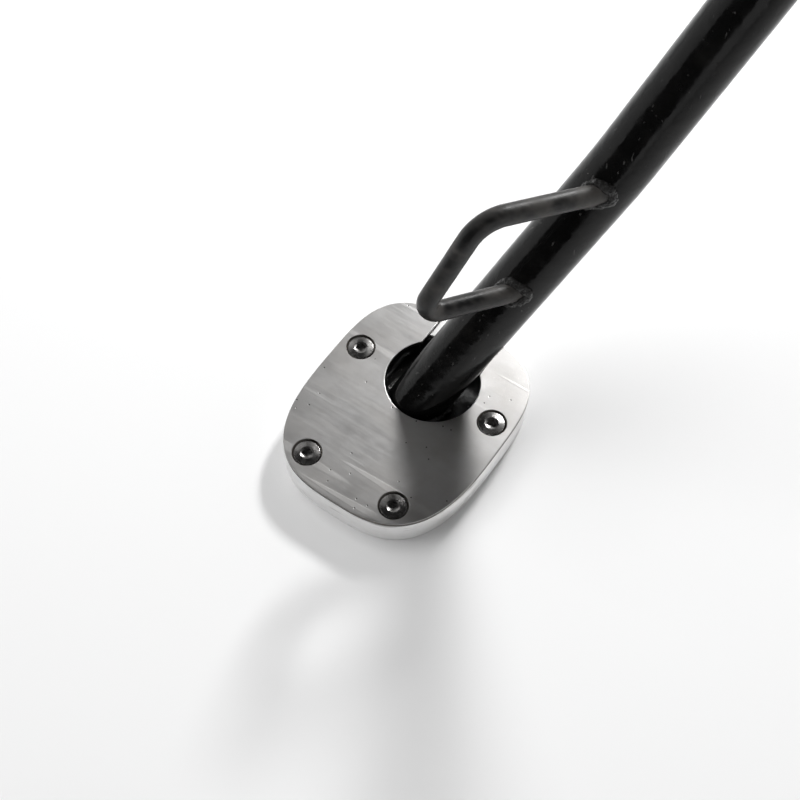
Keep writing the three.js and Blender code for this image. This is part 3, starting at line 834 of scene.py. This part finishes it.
def leg_path(spacing):
    top = PIVOT + leg_down * TUBE_START
    bottom = leg_foot - lower_up * 16 * MM
    radius = TUBE_BEND / upper_up.angle(lower_up)
    return bent_path([top, leg_bend, bottom], [radius], 24, spacing)


def leg_tube():
    """The tube, with the slight waviness of drawn and bent steel, hollow at its upper end."""
    path = leg_path(2.2 * MM)

    def outside(point, index, way):
        return TUBE_RADIUS + 0.035 * MM * lumps(point + way * 0.004, 0.03)

    maker = swept(path, outside, FINE, ends="open")
    slide_up(maker, STOCK_TOP + 0.3 * MM, lower_up)
    first = list(range(FINE))
    last = list(range(len(maker.points) - FINE, len(maker.points)))
    tangent, _, _ = frames_along(path)[0]
    centre = path[0]
    bore = []
    for depth in (0, 0.5 * MM, 14 * MM):
        shrink = (TUBE_RADIUS - TUBE_WALL + (0.4 * MM if depth == 0 else 0)) / TUBE_RADIUS
        points = [centre + (maker.points[v] - centre) * shrink + tangent * depth for v in first]
        bore.append(maker.ring(points))
    maker.wall([first, *bore])
    maker.cap([bore[-1]])
    maker.cap([last])
    add_piece("leg_tube", maker.build("leg_tube"))


def slide_up(maker, height, way):
    """Ends a piece on a level plane: points under it slide up to it along the given way."""
    for point in maker.points:
        if point.z < height:
            point += way * ((height - point.z) / way.z)


def bead(node, path, radius, ripple, sides=20, drift=0.0):
    """A weld bead laid along a closed path: overlapping scales, with lumps."""
    count = len(path)

    def size(point, index, way):
        scales = abs(math.sin(math.pi * ripple * index / count + 2 * lumps(point, 0.006)))
        lump = lumps(point + way * 0.002, 0.0035) + 0.6 * lumps(point + way * 0.002, 0.0014)
        return radius * (0.9 + 0.06 * scales + 0.3 * lump)

    wandering = [p + Vector((1, 1, 1)) * drift * lumps(p, 0.004) for p in path]
    add_piece(node, swept(wandering, size, sides, closed=True).build(node))


def foot_weld():
    """The bead round the leg where it meets the stock foot, in the foot's own plane."""
    height = STOCK_TOP + 0.9 * MM
    centre = leg_foot + lower_up * ((height - leg_foot.z) / lower_up.z)
    along = Vector((lower_up.x, lower_up.y, 0)).normalized()
    across = UP.cross(along)
    path = []
    for i in range(220):
        angle = math.tau * i / 220
        reach = TUBE_RADIUS / lower_up.z * math.cos(angle)
        path.append(centre + along * reach + across * TUBE_RADIUS * math.sin(angle))
    bead("foot_weld", path, 1.9 * MM, 30)


def head_weld():
    centre = PIVOT + leg_down * (TUBE_START + 0.4 * MM)
    path = []
    for i in range(200):
        angle = math.tau * i / 200
        way = swing * math.cos(angle) + AXLE * math.sin(angle)
        path.append(centre + way * (TUBE_RADIUS - 0.2 * MM))
    bead("head_weld", path, 2.0 * MM, 30)


def loop_point(along, out):
    return loop_frame @ Vector((along * MM, out * MM, LOOP_SIDE))


def kick_loop():
    """The bent rod, round in section, with a faint waviness and two bends."""
    low, high = LOOP_WELDS
    corners = [loop_point(*p) for p in (low, *LOOP_CORNERS, high)]
    path = bent_path(corners, [r * MM for r in LOOP_BENDS], 16, 1.6 * MM)

    def size(point, index, way):
        return LOOP_RADIUS * (1 + 0.006 * lumps(point + way * 0.003, 0.012))

    add_piece("kick_loop", swept(path, size, 48).build("kick_loop"), "worn_paint")


def loop_weld(node, weld, corner):
    """A bead that follows the line where the rod runs into the tube."""
    start = loop_point(*weld)
    along = (loop_point(*corner) - start).normalized()
    side = loop_normal
    other = along.cross(side).normalized()
    path = []
    for i in range(120):
        angle = math.tau * i / 120
        origin = start + (side * math.cos(angle) + other * math.sin(angle)) * (LOOP_RADIUS - 0.3 * MM)
        path.append(onto_tube(origin, along))
    bead(node, path, 2.3 * MM, 13, 28, 0.9 * MM)


def onto_tube(origin, way):
    """Where a line leaves the lower leg's surface, or its nearest pass where it misses."""
    flat_origin = (origin - leg_foot) - lower_up * (origin - leg_foot).dot(lower_up)
    flat_way = way - lower_up * way.dot(lower_up)
    a = flat_way.length_squared
    b = flat_origin.dot(flat_way)
    c = flat_origin.length_squared - TUBE_RADIUS**2
    return origin + way * ((-b + math.sqrt(max(b * b - a * c, 0))) / a)


def lower_spring_post():
    maker = turned([
        (0, 9, 0), (9.2, 9.2, 0), (8.6, 12.2, 0.8), (6.7, 14.2, 1), (6.5, 26.4, 0.4), (4.5, 28, 0.6),
        (4.5, 35.8, 0.6), (6.8, 36.6, 0.3), (7, 38.2, 0.5), (6.2, 39, 0.4), (0, 39, 0),
    ])
    place = leg_frame @ Matrix.Translation((POST_REACHES[1], 0, 0))
    add_piece("spring_post_lower", maker.build("spring_post_lower", place, 50))


# ------------------------------------------------------------------ forgings


def prism_mesh(points, low, high, matrix):
    maker = MeshMaker()
    bottom = maker.ring([(x * MM, y * MM, low * MM) for x, y in points])
    top = maker.ring([(x * MM, y * MM, high * MM) for x, y in points])
    maker.wall([bottom, top])
    maker.cap([bottom])
    maker.cap([top])
    return maker.build("block", matrix)


def cylinder_mesh(radius, low, high, matrix):
    return prism_mesh([(p.x, p.y) for p in circle(radius)], low, high, matrix)


def applied(piece):
    """The piece's mesh with its modifiers applied. The piece itself is removed."""
    graph = bpy.context.evaluated_depsgraph_get()
    mesh = bpy.data.meshes.new_from_object(piece.evaluated_get(graph))
    bpy.data.objects.remove(piece)
    return mesh


def cut(mesh, cutter_mesh):
    """The mesh less a cutter."""
    piece, cutter = new_object("cut", mesh), new_object("cutter", cutter_mesh)
    boolean = piece.modifiers.new("cut", "BOOLEAN")
    boolean.operation = "DIFFERENCE"
    boolean.solver = "EXACT"
    boolean.object = cutter
    result = applied(piece)
    bpy.data.objects.remove(cutter)
    return result


def forged(blocks, bores, voxel, smoothing):
    """Overlapping blocks melted into one skin with soft edges, then bored."""
    work = bmesh.new()
    for block in blocks:
        work.from_mesh(block)
    joined = bpy.data.meshes.new("forging")
    work.to_mesh(joined)
    work.free()
    piece = new_object("forging", joined)
    remesh = piece.modifiers.new("skin", "REMESH")
    remesh.mode = "VOXEL"
    remesh.voxel_size = voxel
    smooth = piece.modifiers.new("soften", "SMOOTH")
    smooth.factor = 0.5
    smooth.iterations = smoothing
    mesh = applied(piece)
    for bore in bores:
        mesh = cut(mesh, bore)
    for polygon in mesh.polygons:
        polygon.use_smooth = True
    mesh.set_sharp_from_angle(angle=math.radians(50))
    return mesh


def xy(points):
    return [(p.x, p.y) for p in points]


def leg_head():
    """The fork: two ears, a neck and a shank that runs into the tube."""
    half = FORK_WIDTH / MM / 2
    eye = xy(arc((0, 0), FORK_END / MM, 75, 285, 40))
    ear = [*eye, (22, -half), (34, -half + 1), (34, half - 1), (22, half)]
    depth, end = SLOT_DEPTH / MM, NECK_END / MM
    neck = [(depth, -half), (end, -half + 2), (end, half - 2), (depth, half)]
    blocks = [prism_mesh(neck, -EAR_OUTSIDE / MM, EAR_OUTSIDE / MM, leg_frame)]
    for low, high in ((EAR_INSIDE, EAR_OUTSIDE), (-EAR_OUTSIDE, -EAR_INSIDE)):
        blocks.append(prism_mesh(ear, low / MM, high / MM, leg_frame))
    shank = turned([
        (0, 34, 0), (13.4, 34, 0), (13.4, 44, 2), (11.4, 49.6, 0), (9, 49.7, 0), (9, 61, 1), (0, 61, 0),
    ])
    blocks.append(shank.build("shank", leg_frame @ Matrix.Rotation(math.pi / 2, 4, "Y")))
    bore = cylinder_mesh(PIN_RADIUS / MM + 0.15, -40, 40, leg_frame)
    add_piece("leg_head", forged(blocks, [bore], 0.55 * MM, 9))


def lug_outline():
    """The pivot lug, with a stop horn on each side for the fork's neck to rest against."""
    turn = math.radians(180 - TRAVEL / 2)
    along = Vector((math.cos(turn), math.sin(turn)))
    off = Vector((math.sin(turn), -math.cos(turn)))

    def on_stop(distance):
        point = along * distance + off * (FORK_WIDTH / MM / 2 + 0.3)
        return (point.x, point.y)

    tip = on_stop(36)
    half = [
        *xy(arc((0, 0), 20, 180, 108, 20)), on_stop(21), tip, (tip[0] + 7, tip[1] + 4), (12, tip[1]),
    ]
    front = [*half, (40, 26), (104, 24)]
    rear = [*half, (34, 16), (104, 14)]
    return [*front, *((x, -y) for x, y in rear[:0:-1])][::-1]


def mount_bracket():
    width, height = MOUNT_WIDTH / MM, MOUNT_HEIGHT / MM
    end = width / 2 - height / 2
    outline = xy(arc((end, 0), height / 2, -90, 90, 40) + arc((-end, 0), height / 2, 90, 270, 40))
    slab = prism_mesh(outline, 0.3, MOUNT_THICKNESS / MM, mount_frame)
    lug = prism_mesh(lug_outline(), -6, 6, lug_frame)
    behind = prism_mesh([(-90, -90), (90, -90), (90, 90), (-90, 90)], -90, 0.4, mount_frame)
    lug = cut(lug, behind)
    side = BOLT_SPACING / MM / 2
    bores = [cylinder_mesh(9.1, -20, 20, lug_frame)]
    post = lug_frame @ Matrix.Translation((POST_REACHES[0], 0, 0))
    bores.append(cylinder_mesh(4.6, -20, 20, post))
    for x in (-side, side):
        place = mount_frame @ Matrix.Translation((x * MM, 0, 0))
        bores.append(cylinder_mesh(5.4, -5, 15, place))
    add_piece("mount_bracket", forged([slab, lug], bores, 0.7 * MM, 10))


# ------------------------------------------------------------------ pivot and fasteners


def pivot_bolt():
    """A shouldered bolt with a domed head, whose thread starts beyond the fork."""
    maker = MeshMaker()
    head = EAR_OUTSIDE / MM + 1.7
    end = -EAR_OUTSIDE / MM - 11.4
    socket = [maker.turn(0, head + 1.1), maker.hexagon(7.9, head + 1.4), maker.hexagon(8, head + 5)]
    dome = ((5, 5.4), (6.4, 5.38), (8.4, 5), (10.2, 4), (11.3, 2.9), (11.9, 1.9), (12, 1.4), (12, 0.3))
    shoulder = ((11.8, 0), (7, 0), (7, -28.4), (6.4, -28.9))
    body = maker.turns((r, head + z) for r, z in (*dome, *shoulder))
    thread = thread_rings(maker, 5.8, 0.7, 1.5, end, -13.9)
    maker.wall([*socket, *body, *thread, *maker.turns(((4.8, end - 0.5), (0, end - 0.5)))])
    add_piece("pivot_bolt", maker.build("pivot_bolt", leg_frame, 28))


def nut(node, across, bore, low, high, matrix):
    """A hexagon nut, chamfered at both faces and in its mouth."""
    maker = MeshMaker()
    chamfer = across / math.sqrt(3) * 0.9
    maker.wall([
        *maker.turns(((bore, low + 0.8), (bore + 0.7, low), (across * 0.46, low))),
        maker.hexagon(across, low + 0.9, chamfer),
        maker.hexagon(across, low + 1.6),
        maker.hexagon(across, high - 1.6),
        maker.hexagon(across, high - 0.9, chamfer),
        *maker.turns(((across * 0.46, high), (bore + 0.7, high), (bore, high - 0.8))),
    ], closed=True)
    add_piece(node, maker.build(node, matrix, 25))


def washer(node, bore, radius, low, high, matrix):
    corners = [(bore, low, 0.1), (radius, low, 0.25), (radius, high, 0.25), (bore, high, 0.1)]
    add_piece(node, turned_ring(corners).build(node, matrix, 50))


def bracket_bolt(node, matrix):
    """A flanged hexagon bolt whose threaded end stands out of the mounting face."""
    maker = MeshMaker()
    across, radius, end = 16, 5, -17.2
    top = MOUNT_THICKNESS / MM + 2.2
    flange = ((9, 1.9), (9.7, 1.5), (10, 0.9), (10, 0.3), (9.8, 0), (radius, 0))
    maker.wall([
        *maker.turns(((0, top + 5.7), (6.2, top + 5.9), (6.9, top + 6.35))),
        maker.hexagon(across, top + 6, across / math.sqrt(3) * 0.88),
        maker.hexagon(across, top + 5.2),
        maker.hexagon(across, top + 2.1),
        *maker.turns((r, top + z) for r, z in flange),
        maker.turn(radius, 1),
        *thread_rings(maker, radius - 0.02, 0.85, 1.5, end, 0.8),
        *maker.turns(((4, end - 0.8), (0, end - 0.8))),
    ])
    add_piece(node, maker.build(node, matrix, 25))


def upper_spring_post():
    maker = turned([
        (0, -7.6, 0), (4, -7.5, 0.4), (4.4, -6, 0), (4.4, 6.1, 0), (6.5, 6.2, 0.3), (6.5, 26.4, 0.4),
        (4.5, 28, 0.6), (4.5, 35.8, 0.6), (6.8, 36.6, 0.3), (7, 38.2, 0.5), (6.2, 39, 0.4), (0, 39, 0),
    ])
    place = lug_frame @ Matrix.Translation((POST_REACHES[0], 0, 0))
    add_piece("spring_post_upper", maker.build("spring_post_upper", place, 50))


def fasteners():
    outside = EAR_OUTSIDE / MM
    pivot_bolt()
    nut("pivot_nut", 19, 5.9, -outside - 8.8, -outside - 1.8, leg_frame)
    washer("pivot_washer_outer", 7.3, 11.5, outside + 0.1, outside + 1.6, leg_frame)
    washer("pivot_washer_inner", 7.3, 11.5, -outside - 1.6, -outside - 0.1, leg_frame)
    washer("pivot_bushing", 7.2, 9, -6.1, 6.1, lug_frame)
    side = BOLT_SPACING / 2
    for end, x in (("front", -side), ("rear", side)):
        place = mount_frame @ Matrix.Translation((x, 0, 0))
        bracket_bolt(f"bracket_bolt_{end}", place)
        thickness = MOUNT_THICKNESS / MM
        washer(f"bracket_washer_{end}", 5.3, 11, thickness + 0.1, thickness + 2.1, place)


# ------------------------------------------------------------------ springs


def spring(node, wire, coil, turns, hook_height):
    """A close tension spring whose ends are bent into hooks round the two posts."""
    start = 15 * MM
    bend = 10 * MM
    joint_steps = 14
    length = spring_length - 2 * start
    hook = POST_RADIUS + 0.5 * MM + wire / 2
    first = []
    for step in range(41):
        angle = math.radians(-70 - 220 * step / 40)
        first.append(Vector((hook * math.cos(angle), hook * math.sin(angle), hook_height)))
    body = []
    per_turn = 40
    for i in range(turns * per_turn + 1):
        angle = math.tau * i / per_turn
        x = start + length * i / (turns * per_turn)
        body.append(Vector((x, coil / 2 * math.cos(angle), coil / 2 * math.sin(angle))))
    leave = (first[-1] - first[-2]).normalized() * bend
    enter = (body[1] - body[0]).normalized() * bend
    hooked = [*first, *hermite(first[-1], leave, body[0], enter, joint_steps)]
    hook_at = joint_steps - 1
    ending = [Vector((spring_length - p.x, p.y, p.z)) for p in reversed(hooked)][hook_at:]
    leave = (body[-1] - body[-2]).normalized() * bend
    enter = (ending[1] - ending[0]).normalized() * bend
    path = [*hooked, *body, *hermite(body[-1], leave, ending[0], enter, joint_steps), *ending]
    add_piece(node, swept(path, wire / 2, 16, ends="round").build(node, spring_frame, 50))


# ------------------------------------------------------------------ assembly


def build_stand():
    top_plate()
    base_plate()
    stock_foot()
    for index, place in enumerate(SCREWS):
        foot_screw(index, place)
    leg_tube()
    foot_weld()
    head_weld()
    kick_loop()
    loop_weld("loop_weld_lower", LOOP_WELDS[0], LOOP_CORNERS[0])
    loop_weld("loop_weld_upper", LOOP_WELDS[1], LOOP_CORNERS[1])
    lower_spring_post()
    upper_spring_post()
    leg_head()
    mount_bracket()
    fasteners()
    spring("outer_spring", 3.2 * MM, 17 * MM, 12, -1.9 * MM)
    spring("inner_spring", 2.2 * MM, 10 * MM, 15, 1.9 * MM)


# ------------------------------------------------------------------ stage


def sheet(name, corners, material):
    """A flat four-sided piece of the stage."""
    mesh = bpy.data.meshes.new(name)
    mesh.from_pydata(corners, [], [(0, 1, 2, 3)])
    mesh.materials.append(material)
    piece = new_object(name, mesh)
    return piece


def floor():
    size = 3.0
    height = base_low.z
    corners = [(-size, -size, height), (size, -size, height), (size, size, height), (-size, size, height)]
    s = Shading("plain_floor", Base_Color=grey(0.9), Roughness=0.9)
    s.bump([(s.noise(400, 3), 0.02, 0.0002)])
    sheet("floor", corners, s.material)


def area_light(name, place, size, power):
    """A square light of a size in metres and a power in watts, aimed at the foot."""
    data = bpy.data.lights.new(name, "AREA")
    data.size = size
    data.energy = power
    light = new_object(name, data)
    light.location = place
    light.rotation_mode = "QUATERNION"
    light.rotation_quaternion = (FOOT - place).to_track_quat("-Z", "Y")
    light.visible_camera = False
    return light


def towards(azimuth, elevation, distance):
    """A place seen from the foot at an azimuth and elevation in degrees."""
    return FOOT + direction(90 - elevation, azimuth) * distance


def flag(name, azimuth, distance, width, height):
    """A black card beside the set that only reflections see."""
    low = FOOT.z - 0.02
    middle = towards(azimuth, 0, distance)
    side = Vector((-math.sin(math.radians(azimuth)), math.cos(math.radians(azimuth)), 0)) * width / 2
    corners = [middle - side, middle + side, middle + side, middle - side]
    for corner, z in zip(corners, (low, low, low + height, low + height)):
        corner.z = z
    card = sheet(name, corners, Shading("black_card", Base_Color=grey(0.0), Roughness=1.0).material)
    card.visible_camera = False
    card.visible_diffuse = False
    card.visible_shadow = False


def room():
    """Pale near the horizon and dark overhead, so that lights and flags shape the reflections."""
    world = bpy.data.worlds.new("room")
    world.use_nodes = True
    tree = world.node_tree
    place = tree.nodes.new("ShaderNodeTexCoord")
    split = tree.nodes.new("ShaderNodeSeparateXYZ")
    ramp = tree.nodes.new("ShaderNodeMapRange")
    ramp.inputs["From Min"].default_value = 0.25
    ramp.inputs["From Max"].default_value = 0.65
    ramp.inputs["To Min"].default_value = 0.8
    ramp.inputs["To Max"].default_value = 0.03
    tree.links.new(place.outputs["Generated"], split.inputs["Vector"])
    tree.links.new(split.outputs["Z"], ramp.inputs["Value"])
    tree.links.new(ramp.outputs["Result"], tree.nodes["Background"].inputs["Strength"])
    tree.nodes["Background"].inputs["Color"].default_value = (1, 1, 1, 1)
    bpy.context.scene.world = world


def lighting():
    """A small key from inboard and behind, dim and broad fills, and a card for the dark band."""
    room()
    area_light("key", towards(94, 38, 1.2), 0.16, 11)
    area_light("left", towards(152, 43, 1.3), 0.4, 0.6)
    sky = area_light("sky", towards(190, 60, 3.0), 2.3, 52)
    sky.visible_glossy = False
    area_light("front", towards(230, 50, 1.3), 0.7, 0.6)
    flag("flag", -98, 0.75, 1.2, 0.8)


def camera():
    """Above and outboard of the foot, looking inboard and down; the leg leaves the picture."""
    view = Vector((-0.287, 0.442, -0.850)).normalized()
    right = Vector((0.8261, 0.5634, 0.0141))
    right = (right - view * right.dot(view)).normalized()
    data = bpy.data.cameras.new("camera")
    data.lens = 57.44
    data.sensor_width = 36
    data.clip_start = 0.01
    piece = new_object("camera", data)
    piece.matrix_world = basis(FOOT + Vector((0.1458, -0.2433, 0.4442)), right, right.cross(view), -view)
    bpy.context.scene.camera = piece
    bpy.context.scene.view_settings.view_transform = "Standard"


camera()
build_stand()
floor()
lighting()
